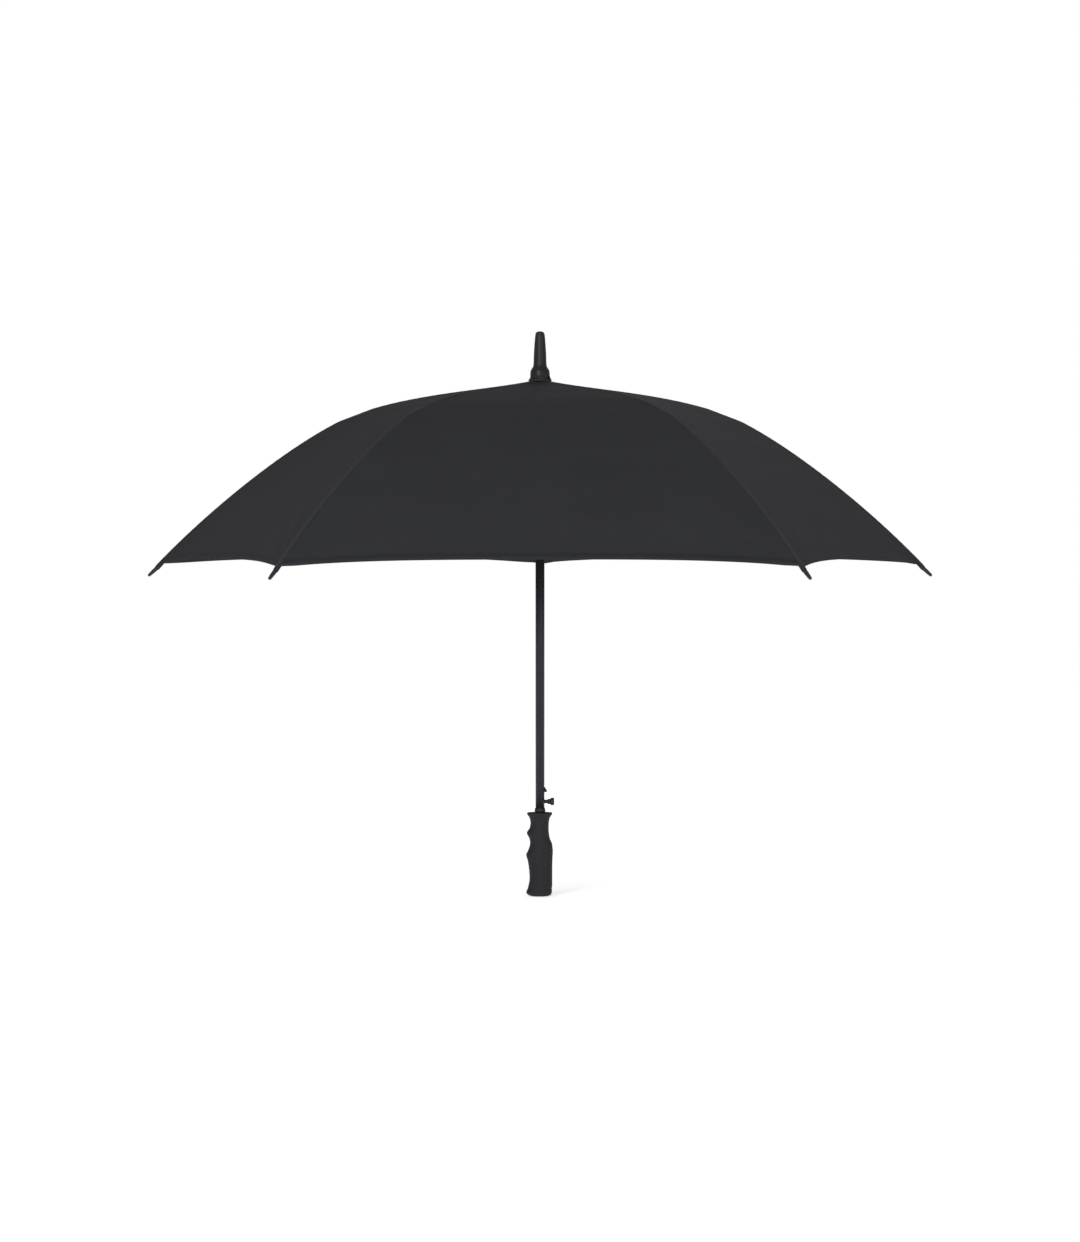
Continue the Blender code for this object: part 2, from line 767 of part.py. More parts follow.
def build_sectors(paint):
    crown, runner = pivot_of(CROWN_PIVOT), pivot_of(RUNNER_PIVOT)
    flex = pivot_of(FLEX_PIVOT)
    near_crown = bezier(CANOPY_INNER, 0.0)[0]
    gore_crown = (near_crown.x * math.cos(HALF_SECTOR), 0, near_crown.z)
    gore_flex = (JOINT_END.x * math.cos(HALF_SECTOR), 0, JOINT_END.z)
    pieces = (
        ("rib_inner", rib_inner_mesh(), "fibre", crown, 0),
        ("rib_joint", rib_joint_mesh(), "steel", crown, 0),
        ("rib_outer", rib_outer_mesh(), "fibre", flex, 0),
        ("rib_tip", rib_tip_mesh(), "plastic", flex, 0),
        ("stretcher", stretcher_mesh(), "steel", runner, 0),
        ("gore_inner", gore_inner_mesh(), "fabric", gore_crown, HALF_SECTOR),
        ("gore_outer", gore_outer_mesh(), "fabric", gore_flex, HALF_SECTOR),
    )
    for name, mesh, material, pivot, turn in pieces:
        from_pivot(mesh, pivot)
        for rib in range(RIBS):
            azimuth = FIRST_RIB_AZIMUTH + SECTOR * rib + turn
            add_object(f"{name}_{rib + 1}", mesh, paint[material], pivot, azimuth)


def build():
    for thing in list(bpy.data.objects):
        bpy.data.objects.remove(thing)
    paint = {
        "steel": make_material("shaft_steel", (0.045, 0.048, 0.060), 0.35, 0.6),
        "plastic": make_material("black_plastic", (0.030, 0.031, 0.033), 0.42),
        "fibre": make_material("glass_fibre", (0.020, 0.020, 0.022), 0.38),
        "fabric": make_material("canopy_fabric", (0.033, 0.034, 0.038), 0.82),
        "rubber": make_material("grip_rubber", (0.045, 0.046, 0.050), 0.70),
    }
    build_fixed_parts(paint)
    build_runner(paint)
    build_catches(paint)
    build_sectors(paint)


build()
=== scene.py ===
"""The looks of the golf umbrella: its stretched canopy, sewn seams, moulded grip and materials.

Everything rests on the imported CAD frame. Metres, +Z up, the grip's base at the origin, the
release button along +X and the middle of one gore facing -Y.
"""

import math

import bpy
from mathutils import Matrix, Vector


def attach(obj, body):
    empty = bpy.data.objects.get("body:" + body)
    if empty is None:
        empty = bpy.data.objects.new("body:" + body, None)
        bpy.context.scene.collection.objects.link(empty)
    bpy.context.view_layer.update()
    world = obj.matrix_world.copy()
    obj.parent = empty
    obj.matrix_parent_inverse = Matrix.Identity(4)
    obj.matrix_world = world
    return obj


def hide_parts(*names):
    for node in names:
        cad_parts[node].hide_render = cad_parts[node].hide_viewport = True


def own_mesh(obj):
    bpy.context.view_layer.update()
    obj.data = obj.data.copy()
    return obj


RIBS = 5
SECTOR = 2 * math.pi / RIBS
HALF_SECTOR = SECTOR / 2
FIRST_RIB_AZIMUTH = math.radians(90)

# The canopy's section along a rib, as in the CAD: (radius, height) over each half of the rib
CANOPY_INNER = ((0.012, 0.8245), (0.080, 0.8115), (0.190, 0.808), (0.286, 0.782))
CANOPY_OUTER = ((0.342, 0.7625), (0.430, 0.722), (0.560, 0.629), (0.663, 0.530))
HEM_RISE = 0.034
HEM_SHAPE = 3.4
CLOTH_DEPTH = 0.0005

# The cloth's own relief
SAG = 0.0030
SEAM_HOLD = 0.006
PUCKER_HEIGHT, PUCKER_PITCH, PUCKER_REACH = 0.00045, 0.026, 0.011
TIP_FOLD_HEIGHT, TIP_FOLD_REACH, TIP_FOLDS = 0.0016, 0.085, 11
CROWN_FOLD_HEIGHT, CROWN_FOLD_REACH, CROWN_FOLDS = 0.0007, 0.045, 5
WAVE_HEIGHT, WAVES = 0.0006, 7.3
HEM_WIDTH, HEM_THICKNESS = 0.009, 0.00035
SEAM_HALF_WIDTH, SEAM_HEIGHT = 0.0042, 0.0007
POCKET_DROP = 0.0042
POCKET_SIDES = 28
WEAVE_PITCH = 0.0011
STITCH_PITCH = 0.0030

# Camera, as far away and as high as in the photograph
CAMERA_DISTANCE = 6.89
CAMERA_HEIGHT = 0.557
CAMERA_PITCH = math.radians(0.97)
LENS = 124.9
ROOM_LIGHT = 0.42
FLOOR_REACH = 60
FLOOR_GAP = 0.0005

# Grip, from its base up: height, then reach to the fingers' side, the palm's side and sideways
GRIP_HEIGHT = 0.134
GRIP_SHAPE = (
    (0.0000, 0.0135, 0.0125, 0.0115),
    (0.0012, 0.0174, 0.0162, 0.0146),
    (0.0034, 0.0208, 0.0182, 0.0162),
    (0.0064, 0.0221, 0.0190, 0.0168),
    (0.0130, 0.0196, 0.0192, 0.0162),
    (0.0260, 0.0169, 0.0193, 0.0155),
    (0.0400, 0.0173, 0.0193, 0.0155),
    (0.0560, 0.0195, 0.0195, 0.0159),
    (0.0665, 0.0221, 0.0201, 0.0163),
    (0.0730, 0.0192, 0.0203, 0.0161),
    (0.0830, 0.0161, 0.0196, 0.0155),
    (0.0920, 0.0170, 0.0160, 0.0149),
    (0.1015, 0.0211, 0.0143, 0.0151),
    (0.1090, 0.0168, 0.0139, 0.0147),
    (0.1180, 0.0153, 0.0143, 0.0146),
    (0.1260, 0.0172, 0.0160, 0.0157),
    (0.1310, 0.0205, 0.0194, 0.0184),
    (0.1330, 0.0207, 0.0197, 0.0188),
    (GRIP_HEIGHT, 0.0197, 0.0187, 0.0179),
)
GRIP_BORE = 0.0102
PALM_PANEL = (0.0150, 0.0770)
PALM_PANEL_ANGLE = 68
FOOT_LINE = 0.0117


# ---------------------------------------------------------------- node materials


class Shader:
    """A Principled material that is built up node by node."""

    def __init__(self, name):
        self.material = bpy.data.materials.new(name)
        self.material.use_nodes = True
        self.tree = self.material.node_tree
        self.out = self.tree.nodes["Principled BSDF"]

    def node(self, kind, **settings):
        made = self.tree.nodes.new(kind)
        for key, value in settings.items():
            setattr(made, key, value)
        return made

    def feed(self, socket, value):
        if isinstance(value, (int, float, tuple)):
            socket.default_value = value
        else:
            self.tree.links.new(value, socket)

    def math(self, operation, *values):
        made = self.node("ShaderNodeMath", operation=operation)
        for socket, value in zip(made.inputs, values):
            self.feed(socket, value)
        return made.outputs[0]

    def noise(self, scale, detail=3.0, stretch=(1, 1, 1), roughness=0.5):
        """Noise in object space, with scale in features for each metre."""
        where = self.node("ShaderNodeTexCoord").outputs["Object"]
        mapping = self.node("ShaderNodeMapping")
        self.feed(mapping.inputs["Vector"], where)
        mapping.inputs["Scale"].default_value = stretch
        made = self.node("ShaderNodeTexNoise")
        self.feed(made.inputs["Vector"], mapping.outputs[0])
        made.inputs["Scale"].default_value = scale
        made.inputs["Detail"].default_value = detail
        made.inputs["Roughness"].default_value = roughness
        return made.outputs["Fac"]

    def between(self, fac, low, high):
        made = self.node("ShaderNodeMapRange")
        self.feed(made.inputs["Value"], fac)
        made.inputs["To Min"].default_value = low
        made.inputs["To Max"].default_value = high
        return made.outputs[0]

    def colour(self, fac, first, second):
        made = self.node("ShaderNodeMix", data_type="RGBA")
        self.feed(made.inputs["Factor"], fac)
        made.inputs["A"].default_value = (*first, 1)
        made.inputs["B"].default_value = (*second, 1)
        return made.outputs["Result"]

    def bump(self, height, distance, strength=1.0):
        made = self.node("ShaderNodeBump")
        made.inputs["Strength"].default_value = strength
        made.inputs["Distance"].default_value = distance
        self.feed(made.inputs["Height"], height)
        self.tree.links.new(made.outputs[0], self.out.inputs["Normal"])

    def set(self, **values):
        for key, value in values.items():
            self.feed(self.out.inputs[key.replace("_", " ")], value)
        return self


def edge_wear(shader):
    """1 on worn convex edges, 0 elsewhere, from the surface's own pointiness."""
    point = shader.node("ShaderNodeNewGeometry").outputs["Pointiness"]
    made = shader.node("ShaderNodeMapRange")
    shader.feed(made.inputs["Value"], point)
    made.inputs["From Min"].default_value = 0.53
    made.inputs["From Max"].default_value = 0.60
    return made.outputs[0]


def fabric(name, stitch_rows, stitch_across, ridge=0.0):
    """Tight plain-weave polyester, with a painted highlight making a ridge's crest paler. UV is metres
    along and across the sewing.
    """
    shader = Shader(name)
    uv = shader.node("ShaderNodeSeparateXYZ")
    shader.feed(uv.inputs[0], shader.node("ShaderNodeUVMap", uv_map="Cloth").outputs[0])
    along, across = uv.outputs["X"], uv.outputs["Y"]

    pitch = 2 * math.pi / WEAVE_PITCH
    warp = shader.math("SINE", shader.math("MULTIPLY", along, pitch))
    weft = shader.math("SINE", shader.math("MULTIPLY", across, pitch))
    weave = shader.math("MULTIPLY", warp, weft)
    slubs = shader.noise(260, 2, (1, 1, 5))

    stitches = None
    for row in stitch_rows:
        offset = shader.math("ABSOLUTE", shader.math("SUBTRACT", across, row))
        near = shader.math("LESS_THAN", offset, stitch_across)
        dash = shader.math("SINE", shader.math("MULTIPLY", along, 2 * math.pi / STITCH_PITCH))
        one = shader.math("MULTIPLY", near, shader.math("GREATER_THAN", dash, -0.35))
        stitches = one if stitches is None else shader.math("MAXIMUM", stitches, one)

    patches = shader.noise(9, 3)
    ground = shader.colour(patches, (0.0212, 0.0218, 0.0250), (0.0254, 0.0260, 0.0296))
    pale = stitches
    # Painted highlight: within ridge of the sewing's middle line, the colour is mixed most of the way to
    # the pale thread colour, where light would catch the raised crest.
    if ridge:
        ridge_highlight = shader.math("LESS_THAN", shader.math("ABSOLUTE", across), ridge)
        pale = shader.math("MAXIMUM", stitches, shader.math("MULTIPLY", ridge_highlight, 0.7))
    # Real pale thread colour on the stitches, and painted highlight on the ridge's crest.
    thread_and_highlight = shader.node("ShaderNodeMix", data_type="RGBA")
    shader.feed(thread_and_highlight.inputs["Factor"], pale)
    shader.feed(thread_and_highlight.inputs["A"], ground)
    thread_and_highlight.inputs["B"].default_value = (0.046, 0.048, 0.054, 1)

    threads = shader.math("MULTIPLY", weave, 0.30)
    height = shader.math("ADD", threads, shader.math("MULTIPLY", slubs, 0.25))
    shader.bump(shader.math("ADD", height, shader.math("MULTIPLY", stitches, 1.6)), 0.00022, 0.65)
    shader.set(Base_Color=thread_and_highlight.outputs["Result"], Roughness=shader.between(patches, 0.72, 0.82))
    shader.set(Specular_IOR_Level=0.08)
    return shader.material


def painted_steel():
    shader = Shader("painted_steel")
    flecks = shader.noise(900, 4)
    streaks = shader.noise(60, 3, (1, 1, 0.06))
    wear = edge_wear(shader)
    base = shader.colour(streaks, (0.0085, 0.0081, 0.0125), (0.0130, 0.0125, 0.0182))
    mixed = shader.node("ShaderNodeMix", data_type="RGBA")
    shader.feed(mixed.inputs["Factor"], shader.math("MULTIPLY", wear, 0.35))
    shader.feed(mixed.inputs["A"], base)
    mixed.inputs["B"].default_value = (0.06, 0.06, 0.067, 1)
    shader.bump(flecks, 0.00004, 0.5)
    shader.set(Base_Color=mixed.outputs["Result"], Metallic=0.55)
    shader.set(Roughness=shader.between(flecks, 0.30, 0.44))
    return shader.set(Specular_IOR_Level=0.16).material


def bright_steel():
    shader = Shader("zinc_steel")
    streaks = shader.noise(700, 3, (1, 1, 0.2))
    shader.bump(streaks, 0.00003, 0.4)
    shader.set(Base_Color=shader.colour(streaks, (0.30, 0.30, 0.31), (0.42, 0.42, 0.43)))
    return shader.set(Roughness=shader.between(streaks, 0.28, 0.42), Metallic=1.0).material


def moulded_plastic(name, dark, light, roughness):
    shader = Shader(name)
    grain = shader.noise(2600, 2)
    clouds = shader.noise(40, 3)
    wear = edge_wear(shader)
    mixed = shader.node("ShaderNodeMix", data_type="RGBA")
    shader.feed(mixed.inputs["Factor"], shader.math("MULTIPLY", wear, 0.30))
    shader.feed(mixed.inputs["A"], shader.colour(clouds, dark, light))
    mixed.inputs["B"].default_value = (0.06, 0.06, 0.064, 1)
    shader.bump(grain, 0.00005, 0.55)
    shader.set(Base_Color=mixed.outputs["Result"], Specular_IOR_Level=0.19)
    return shader.set(Roughness=shader.between(clouds, roughness - 0.05, roughness + 0.06)).material


def grip_rubber():
    """Soft-touch rubber, matt with a fine leathery grain."""
    shader = Shader("grip_rubber")
    cells = shader.node("ShaderNodeTexVoronoi", feature="DISTANCE_TO_EDGE")
    shader.feed(cells.inputs["Vector"], shader.node("ShaderNodeTexCoord").outputs["Object"])
    cells.inputs["Scale"].default_value = 900
    grain = shader.math("MINIMUM", shader.math("MULTIPLY", cells.outputs["Distance"], 4.0), 1.0)
    clouds = shader.noise(30, 4)
    shader.bump(grain, 0.00012, 0.6)
    shader.set(Base_Color=shader.colour(clouds, (0.0118, 0.0121, 0.0146), (0.0166, 0.0170, 0.0202)))
    return shader.set(Roughness=shader.between(clouds, 0.52, 0.66), Specular_IOR_Level=0.17).material


def glass_fibre():
    shader = Shader("glass_fibre")
    fibres = shader.noise(900, 3)
    shader.bump(fibres, 0.00003, 0.4)
    shader.set(Base_Color=shader.colour(fibres, (0.012, 0.012, 0.013), (0.022, 0.022, 0.024)))
    return shader.set(Roughness=shader.between(fibres, 0.30, 0.42), Specular_IOR_Level=0.3).material


# ---------------------------------------------------------------- mesh helpers


def make_object(name, points, faces, material, smooth=True):
    mesh = bpy.data.meshes.new(name)
    mesh.from_pydata([tuple(p) for p in points], [], faces)
    mesh.validate()
    if smooth:
        mesh.shade_smooth()
    mesh.materials.append(material)
    thing = bpy.data.objects.new(name, mesh)
    bpy.context.scene.collection.objects.link(thing)
    return thing


def grid_faces(rows, columns, start=0):
    faces = []
    for i in range(rows - 1):
        for j in range(columns - 1):
            a = start + i * columns + j
            faces.append((a, a + columns, a + columns + 1, a + 1))
    return faces


def set_uv(thing, values):
    layer = thing.data.uv_layers.new(name="Cloth")
    for loop in thing.data.loops:
        layer.data[loop.index].uv = values[loop.vertex_index]


# ---------------------------------------------------------------- the canopy's surface


def bezier(ends, t):
    a, b, c, d = (Vector((x, z)) for x, z in ends)
    s = 1 - t
    at = a * s**3 + b * (3 * s * s * t) + c * (3 * s * t * t) + d * t**3
    along = (b - a) * (3 * s * s) + (c - b) * (6 * s * t) + (d - c) * (3 * t * t)
    return at, along.normalized()


def curve_length(ends, t, steps=24):
    points = [bezier(ends, t * i / steps)[0] for i in range(steps + 1)]
    return sum((b - a).length for a, b in zip(points, points[1:]))


BRIDGE = (Vector(CANOPY_OUTER[0]) - Vector(CANOPY_INNER[-1])).length
INNER_LENGTH = curve_length(CANOPY_INNER, 1) + BRIDGE
OUTER_LENGTH = curve_length(CANOPY_OUTER, 1)
WHOLE_LENGTH = INNER_LENGTH + OUTER_LENGTH


def inner_station(share):
    """A point (radius, height), its slope and its run from the crown, for 0 to 1 over the inner half."""
    bend = 1 - BRIDGE / INNER_LENGTH
    if share <= bend:
        t = share / bend
        return *bezier(CANOPY_INNER, t), curve_length(CANOPY_INNER, t)
    start, end = Vector(CANOPY_INNER[-1]), Vector(CANOPY_OUTER[0])
    way = (share - bend) / (1 - bend)
    return start.lerp(end, way), (end - start).normalized(), INNER_LENGTH - BRIDGE * (1 - way)


def outer_station(t):
    return *bezier(CANOPY_OUTER, t), INNER_LENGTH + curve_length(CANOPY_OUTER, t)


def relief(gore, run, share, half_width):
    """How far the cloth stands off its smooth surface, at a distance from the crown and a share across."""
    to_seam = (1 - abs(share)) * half_width
    held = 1 - math.exp(-to_seam / SEAM_HOLD)
    lift = -SAG * (1 - share * share) ** 1.5 * math.sin(math.pi * min(run / WHOLE_LENGTH, 1)) ** 2
    wobble = math.sin(2 * math.pi * run / PUCKER_PITCH + 2.1 * gore + 1.3 * math.sin(31 * run))
    lift += PUCKER_HEIGHT * wobble * math.exp(-to_seam / PUCKER_REACH) * held
    to_hem = max(WHOLE_LENGTH - run, 0)
    to_tip = math.hypot(to_seam, to_hem)
    fan = math.atan2(to_seam, to_hem + 0.004)
    lift += TIP_FOLD_HEIGHT * math.sin(TIP_FOLDS * fan + gore) * math.exp(-to_tip / TIP_FOLD_REACH) * held
    folds = math.cos(CROWN_FOLDS * math.pi * share)
    lift += CROWN_FOLD_HEIGHT * folds * math.exp(-run / CROWN_FOLD_REACH) * held
    wave = math.sin(WAVES * run * 2 * math.pi / WHOLE_LENGTH + gore)
    lift += WAVE_HEIGHT * wave * math.cos(2.4 * share + 0.7 * gore) * held
    return lift


def gore_point(gore, station, share, lift=0.0):
    """A point of the cloth in the row frame: level between two ribs, with its relief."""
    (radius, height), slope, run = station
    reach = radius * math.cos(HALF_SECTOR)
    half_width = reach * math.tan(HALF_SECTOR)
    off = lift + relief(gore, run, share, half_width) - CLOTH_DEPTH
    steep = Vector((slope.x * math.cos(HALF_SECTOR), slope.y)).normalized()
    local = Vector((reach - steep.y * off, share * half_width, height + steep.x * off))
    return Matrix.Rotation(gore_azimuth(gore), 3, "Z") @ local


def gore_azimuth(gore):
    return FIRST_RIB_AZIMUTH + HALF_SECTOR + SECTOR * (gore - 1)


def surface_normal(gore, station_at, where, share):
    """The cloth's outward normal from small steps along and across it, the same for both halves."""
    step = 0.004
    a = gore_point(gore, station_at(max(where - step, 0)), share)
    b = gore_point(gore, station_at(min(where + step, 1)), share)
    c = gore_point(gore, station_at(where), max(share - 0.01, -1))
    d = gore_point(gore, station_at(where), min(share + 0.01, 1))
    return (b - a).cross(d - c).normalized()


def gore_sheet(gore, half, cloth):
    """Half of one gore as a single stretched layer, to the hem's fold on the outer half."""
    outer = half == "outer"
    station_at = outer_station if outer else inner_station
    rows, columns = (44, 56) if outer else (40, 40)
    shares = [2 * j / columns - 1 for j in range(columns + 1)]
    stations = [(i / rows, 0.0) for i in range(rows + 1)]
    if outer:
        hem = HEM_WIDTH / OUTER_LENGTH
        stations = [(where * (1 - hem), 0.0) for where, _ in stations]
        stations += [(1 - hem * back, HEM_THICKNESS) for back in (0.96, 0.5, 0.08)]
        stations.append((1.0, 0.0))
        stations += [(1 - hem * back, -HEM_THICKNESS) for back in (0.08, 0.9)]
    points, uvs, normals = [], [], []
    for where, lift in stations:
        for share in shares:
            end = 1 - HEM_RISE * (1 - abs(share) ** HEM_SHAPE) if outer else 1.0
            place = station_at(where * end)
            points.append(gore_point(gore, place, share, lift))
            width = place[0].x * math.sin(HALF_SECTOR)
            below = OUTER_LENGTH * (1 - where) if outer else 1.0 - place[2]
            uvs.append((share * width, below))
            normals.append(surface_normal(gore, station_at, where * end, share))
    sheet = make_object(f"canopy_{half}_{gore}", points, grid_faces(len(stations), columns + 1), cloth)
    set_uv(sheet, uvs)
    if not outer:
        sheet.data.normals_split_custom_set_from_vertices(normals)
    return sheet


def make_gores(cloth):
    """Both halves of each gore. They meet edge to edge at the ribs' joints."""
    for gore in range(1, RIBS + 1):
        for half, body in (("inner", "gore_top"), ("outer", "gore_skirt")):
            sheet = gore_sheet(gore, half, cloth)
            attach(sheet, f"{body}_{gore}")
            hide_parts(f"gore_{half}_{gore}")
            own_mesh(sheet)


def seam_strip(rib, half, cloth):
    """The felled seam over one rib: a narrow raised band that follows the two gores' slopes."""
    outer = half == "outer"
    station_at = outer_station if outer else inner_station
    rows = 60
    azimuth = FIRST_RIB_AZIMUTH + SECTOR * (rib - 1)
    turn = Matrix.Rotation(azimuth, 3, "Z")
    section = (
        (-1.0, -0.0006), (-0.86, 0.35), (-0.5, 0.9), (0, 1.0), (0.5, 0.9), (0.86, 0.35), (1.0, -0.0006)
    )
    points, uvs = [], []
    start = 0.0 if outer else 0.03
    for i in range(rows + 1):
        where = start + (1 - start) * i / rows
        (radius, height), slope, run = station_at(where)
        pinch = 1 + 0.10 * math.sin(run * 2 * math.pi / 0.017)
        steep = Vector((slope.x * math.cos(HALF_SECTOR), slope.y)).normalized()
        fall = steep.y / steep.x * math.sin(HALF_SECTOR)
        for share, rise in section:
            out = share * SEAM_HALF_WIDTH
            drop = abs(out) * fall - CLOTH_DEPTH
            lift = rise * SEAM_HEIGHT * pinch
            at = Vector((radius - slope.y * lift, out, height + drop + slope.x * lift))
            points.append(turn @ at)
            uvs.append((run, out))
    strip = make_object(f"seam_{half}_{rib}", points, grid_faces(rows + 1, len(section)), cloth)
    set_uv(strip, uvs)
    return strip


def tip_pocket(rib, cloth):
    """The little sewn pocket that holds the rib's tip at the canopy's corner."""
    azimuth = FIRST_RIB_AZIMUTH + SECTOR * (rib - 1)
    out = Vector((math.cos(azimuth), math.sin(azimuth), 0))
    side = Vector((-out.y, out.x, 0))
    corner, slope = bezier(CANOPY_OUTER, 1.0)
    way = out * slope.x + Vector((0, 0, slope.y))
    over = way.cross(side)
    if over.z < 0:
        over = -over
    end = out * corner.x + Vector((0, 0, corner.y)) - over * POCKET_DROP
    # Each ring's place along the rib, its half width and its half depth
    rings = (
        (-0.030, 0.0016, 0.0006),
        (-0.024, 0.0036, 0.0020),
        (-0.016, 0.0046, 0.0030),
        (-0.008, 0.0047, 0.0036),
        (0.0, 0.0043, 0.0040),
        (0.0040, 0.0040, 0.0040),
        (0.0050, 0.0037, 0.0038),
        (0.0044, 0.0035, 0.0036),
    )
    sides = POCKET_SIDES
    points, uvs = [], []
    for along, wide, deep in rings:
        for k in range(sides):
            angle = 2 * math.pi * k / sides
            crease = 1 + 0.06 * math.sin(5 * angle + rib) * (1 if along < 0 else 0.4)
            at = end + way * along + side * (wide * crease * math.cos(angle))
            points.append(at + over * (deep * math.sin(angle)))
            uvs.append((angle * wide, along + 0.02))
    faces = []
    for i in range(len(rings) - 1):
        for k in range(sides):
            j = (k + 1) % sides
            faces.append((i * sides + k, i * sides + j, (i + 1) * sides + j, (i + 1) * sides + k))
    pocket = make_object(f"tip_pocket_{rib}", points, faces, cloth)
    set_uv(pocket, uvs)
    return pocket


def make_pockets(cloth):
    for rib in range(1, RIBS + 1):
        pocket = tip_pocket(rib, cloth)
        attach(pocket, f"rib_end_{rib}")


def make_seams(cloth):
    for rib in range(1, RIBS + 1):
        for half, body in (("inner", "rib"), ("outer", "rib_end")):
            strip = seam_strip(rib, half, cloth)
            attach(strip, f"{body}_{rib}")


# ---------------------------------------------------------------- grip


def smooth_between(table, height):
    """A Catmull-Rom curve through the table's columns at a height."""
    last = len(table) - 1
    i = max(k for k in range(last) if table[k][0] <= height)
    a, b, c, d = (table[min(max(k, 0), last)] for k in (i - 1, i, i + 1, i + 2))
    t = (height - b[0]) / (c[0] - b[0])
    values = []
    for k in range(1, len(b)):
        rise_b = (c[k] - a[k]) / (c[0] - a[0]) * (c[0] - b[0])
        rise_c = (d[k] - b[k]) / (d[0] - b[0]) * (c[0] - b[0])
        ease = t * t * (3 - 2 * t)
        values.append(b[k] + (c[k] - b[k]) * ease + rise_b * t * (1 - t) ** 2 - rise_c * t * t * (1 - t))
    return values


def near(value, centre, width):
    return math.exp(-(((value - centre) / width) ** 2))


def inside(value, low, high, blur):
    """1 between low and high, 0 outside, with soft edges."""
    return 0.5 * (math.tanh((value - low) / blur) - math.tanh((value - high) / blur))


def grip_relief(angle, height):
    """How far the moulding stands out: the ribbed palm panel, a swept ridge and a line near the foot."""
    away = abs(math.degrees(math.atan2(math.sin(angle), math.cos(angle))))
    facing_palm = inside(away, -PALM_PANEL_ANGLE, PALM_PANEL_ANGLE, 3.0)
    in_panel = facing_palm * inside(height, *PALM_PANEL, 0.0007)
    border = near(away, PALM_PANEL_ANGLE, 2.6) * inside(height, *PALM_PANEL, 0.001)
    border += near(height, PALM_PANEL[1], 0.0007) * facing_palm
    ribs = (0.5 + 0.5 * math.cos(math.radians(away) * 2 * math.pi / math.radians(18))) ** 2
    lift = 0.00035 * in_panel * ribs - 0.00055 * min(border, 1)
    sweep = 14 + 58 * (height - PALM_PANEL[1]) / (0.122 - PALM_PANEL[1])
    lift += 0.0007 * near(away, sweep, 7) * inside(height, PALM_PANEL[1] + 0.003, 0.120, 0.002)
    lift -= 0.0004 * near(height, FOOT_LINE, 0.0006)
    return lift


def make_grip(rubber):
    """The contoured grip as one fine closed skin, with a rounded foot and a flat top round the liner."""
    sides, rows = 160, 220
    points = [(0, 0, 0)]
    rings = [(0.55, 0.0), (0.90, 0.0)]
    for share, height in rings:
        fingers, palm, across = smooth_between(GRIP_SHAPE, 0.0)
        points += grip_ring(fingers * share, palm * share, across * share, height, sides)
    for i in range(rows + 1):
        height = min(GRIP_HEIGHT * i / rows, GRIP_HEIGHT - 1e-9)
        ring = grip_ring(*smooth_between(GRIP_SHAPE, height), height, sides)
        for side, at in enumerate(ring):
            out = Vector((at[0], at[1], 0))
            lift = grip_relief(2 * math.pi * side / sides, height) * inside(height, 0.004, 0.126, 0.001)
            points.append(Vector(at) + out.normalized() * lift)
    points += grip_ring(GRIP_BORE, GRIP_BORE, GRIP_BORE, GRIP_HEIGHT, sides)
    points += grip_ring(GRIP_BORE, GRIP_BORE, GRIP_BORE, GRIP_HEIGHT - 0.004, sides)
    faces = [(0, 1 + (j + 1) % sides, 1 + j) for j in range(sides)]
    for ring in range(rows + 4):
        low, high = 1 + ring * sides, 1 + (ring + 1) * sides
        for j in range(sides):
            k = (j + 1) % sides
            faces.append((low + j, low + k, high + k, high + j))
    grip = make_object("grip_skin", points, faces, rubber)
    grip.data.set_sharp_from_angle(angle=math.radians(50))
    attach(grip, "shaft")
    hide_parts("grip")


def grip_ring(fingers, palm, across, height, sides):
    ring = []
    for side in range(sides):
        angle = 2 * math.pi * side / sides
        reach = palm if math.cos(angle) > 0 else fingers
        ring.append((reach * math.cos(angle), across * math.sin(angle), height))
    return ring


# ---------------------------------------------------------------- carried-over CAD nodes


def finish_node(node, material, bevel):
    """A CAD node with smooth faces, small bevels on its edges and its own material."""
    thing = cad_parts[node]
    weld = thing.modifiers.new("weld", "WELD")
    weld.merge_threshold = 0.00001
    if bevel:
        edge = thing.modifiers.new("bevel", "BEVEL")
        edge.width = bevel
        edge.segments = 2
        edge.limit_method = "ANGLE"
        edge.angle_limit = math.radians(38)
        edge.harden_normals = True
    for polygon in thing.data.polygons:
        polygon.use_smooth = True
    thing.data.materials.clear()
    thing.data.materials.append(material)


def finish_nodes(materials):
    looks = {
        "shaft_tube": ("steel", 0),
        "top_notch": ("plastic", 0.0002),
        "top_notch_wire": ("zinc", 0),
        "canopy_rosette": ("cap_cloth", 0.0002),
        "ferrule": ("plastic", 0.0004),
        "grip_liner": ("plastic", 0),
        "shaft_plug": ("plastic", 0),
        "shaft_collar": ("plastic", 0.0003),
        "runner": ("plastic", 0.0003),
        "runner_wire": ("zinc", 0),
        "upper_catch": ("zinc", 0.0002),
        "lower_catch": ("steel", 0.0002),
        "release_button": ("plastic", 0.0004),
    }
    for rib in range(1, RIBS + 1):
        looks[f"rib_inner_{rib}"] = ("fibre", 0)
        looks[f"rib_outer_{rib}"] = ("fibre", 0)
        looks[f"rib_joint_{rib}"] = ("steel", 0.0002)
        looks[f"rib_tip_{rib}"] = ("plastic", 0.0003)
        looks[f"stretcher_{rib}"] = ("steel", 0.0003)
    for node, (look, bevel) in looks.items():
        finish_node(node, materials[look], bevel)


# ---------------------------------------------------------------- studio


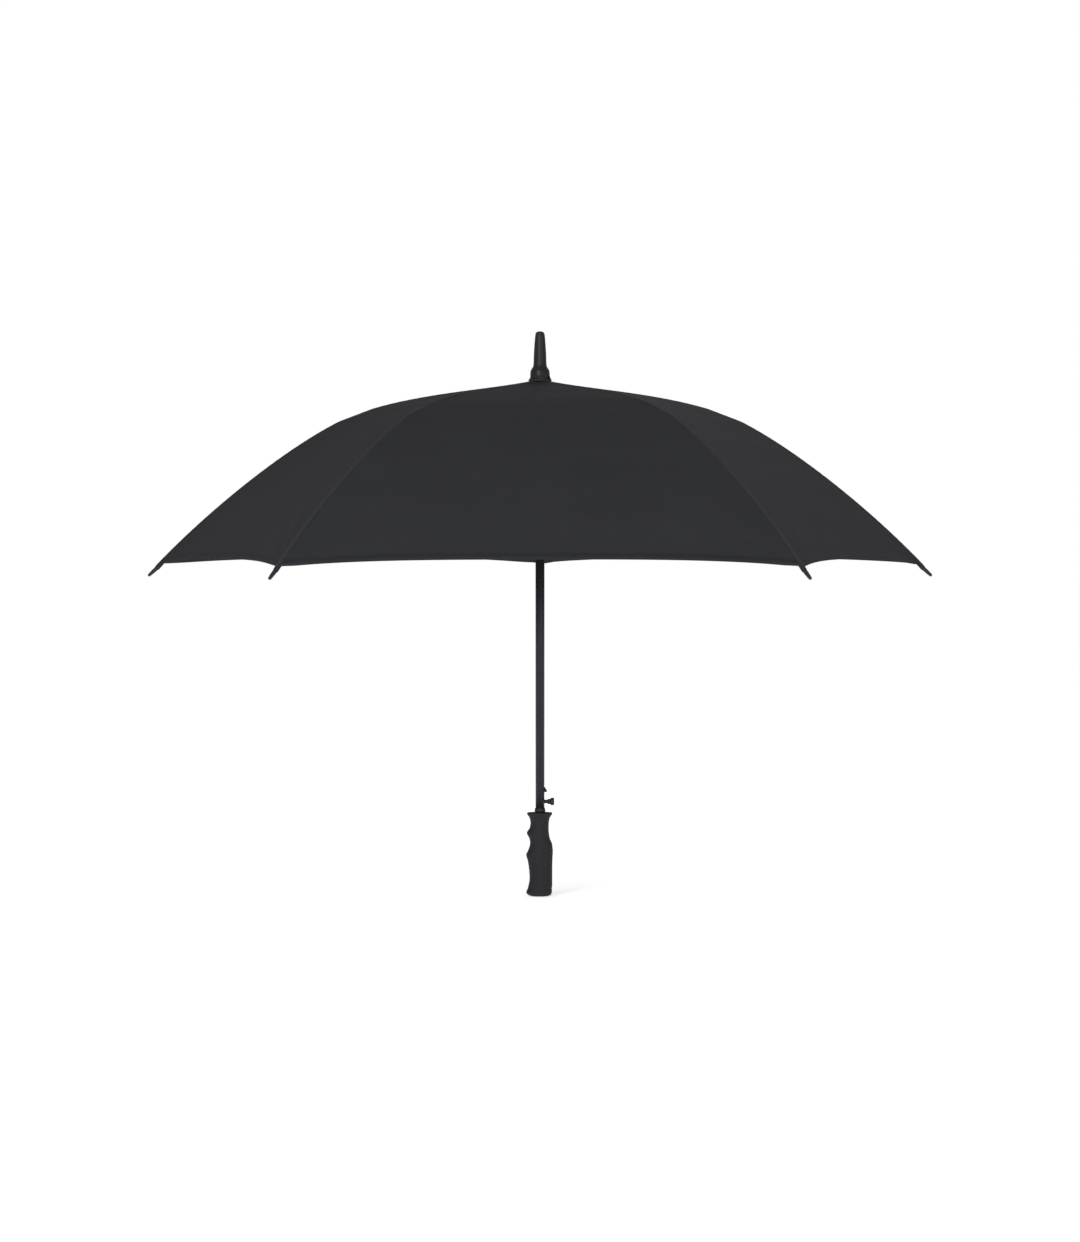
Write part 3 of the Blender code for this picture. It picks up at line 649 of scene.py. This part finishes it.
def make_studio():
    scene = bpy.context.scene
    camera = bpy.data.objects.new("camera", bpy.data.cameras.new("camera"))
    scene.collection.objects.link(camera)
    camera.location = (0, -CAMERA_DISTANCE, CAMERA_HEIGHT)
    camera.rotation_euler = (math.pi / 2 - CAMERA_PITCH, 0, 0)
    camera.data.lens = LENS
    camera.data.sensor_width = 36
    camera.data.clip_end = 200
    scene.camera = camera

    floor_shader = Shader("studio_floor")
    floor_shader.set(Base_Color=(0.93, 0.93, 0.93, 1), Roughness=0.9, Specular_IOR_Level=0.1)
    floor_shader.set(Emission_Color=(1, 1, 1, 1), Emission_Strength=0.61)
    signs = ((-1, -1), (1, -1), (1, 1), (-1, 1))
    corners = [(x * FLOOR_REACH, y * FLOOR_REACH, -FLOOR_GAP) for x, y in signs]
    floor = make_object("studio_floor", corners, [(0, 1, 2, 3)], floor_shader.material, False)

    scene.view_settings.view_transform = "Standard"

    world = bpy.data.worlds.new("studio")
    world.use_nodes = True
    tree = world.node_tree
    rays = tree.nodes.new("ShaderNodeLightPath")
    strength = tree.nodes.new("ShaderNodeMapRange")
    strength.inputs["To Min"].default_value = ROOM_LIGHT
    strength.inputs["To Max"].default_value = 1.0
    tree.links.new(rays.outputs["Is Camera Ray"], strength.inputs["Value"])
    tree.links.new(strength.outputs[0], tree.nodes["Background"].inputs["Strength"])
    tree.nodes["Background"].inputs["Color"].default_value = (1, 1, 1, 1)
    scene.world = world

    lights = (
        ("key", (-1.6, -5.2, 2.6), 2.2, 165),
        ("fill", (2.6, -5.0, 1.2), 2.6, 60),
        ("rim", (1.2, 3.6, 3.0), 2.4, 10),
    )
    for name, place, width, power in lights:
        lamp = bpy.data.lights.new(name, "AREA")
        lamp.size = width
        lamp.energy = power
        thing = bpy.data.objects.new(name, lamp)
        scene.collection.objects.link(thing)
        thing.location = place
        aim = Vector((0, 0, 0.6)) - Vector(place)
        thing.rotation_euler = aim.to_track_quat("-Z", "Y").to_euler()


# ---------------------------------------------------------------- the whole scene

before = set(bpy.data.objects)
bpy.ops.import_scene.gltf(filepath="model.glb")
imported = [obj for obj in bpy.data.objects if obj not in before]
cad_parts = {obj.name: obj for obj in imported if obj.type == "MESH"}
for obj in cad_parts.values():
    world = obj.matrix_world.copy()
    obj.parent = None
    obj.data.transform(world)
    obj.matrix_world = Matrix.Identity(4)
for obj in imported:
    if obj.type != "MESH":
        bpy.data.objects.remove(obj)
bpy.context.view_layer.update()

canopy_cloth = fabric("canopy_cloth", (0.0075,), 0.00022)
# The seam cloth has a painted highlight 1.1 mm each side of the seam's crest.
seam_cloth = fabric("seam_cloth", (-0.0026, 0.0026), 0.00025, ridge=0.0011)
finishes = {
    "steel": painted_steel(),
    "zinc": bright_steel(),
    "plastic": moulded_plastic("black_plastic", (0.0112, 0.0115, 0.0126), (0.0164, 0.0168, 0.0182), 0.40),
    "cap_cloth": seam_cloth,
    "fibre": glass_fibre(),
}

make_gores(canopy_cloth)
make_seams(seam_cloth)
make_pockets(canopy_cloth)
make_grip(grip_rubber())
finish_nodes(finishes)
make_studio()
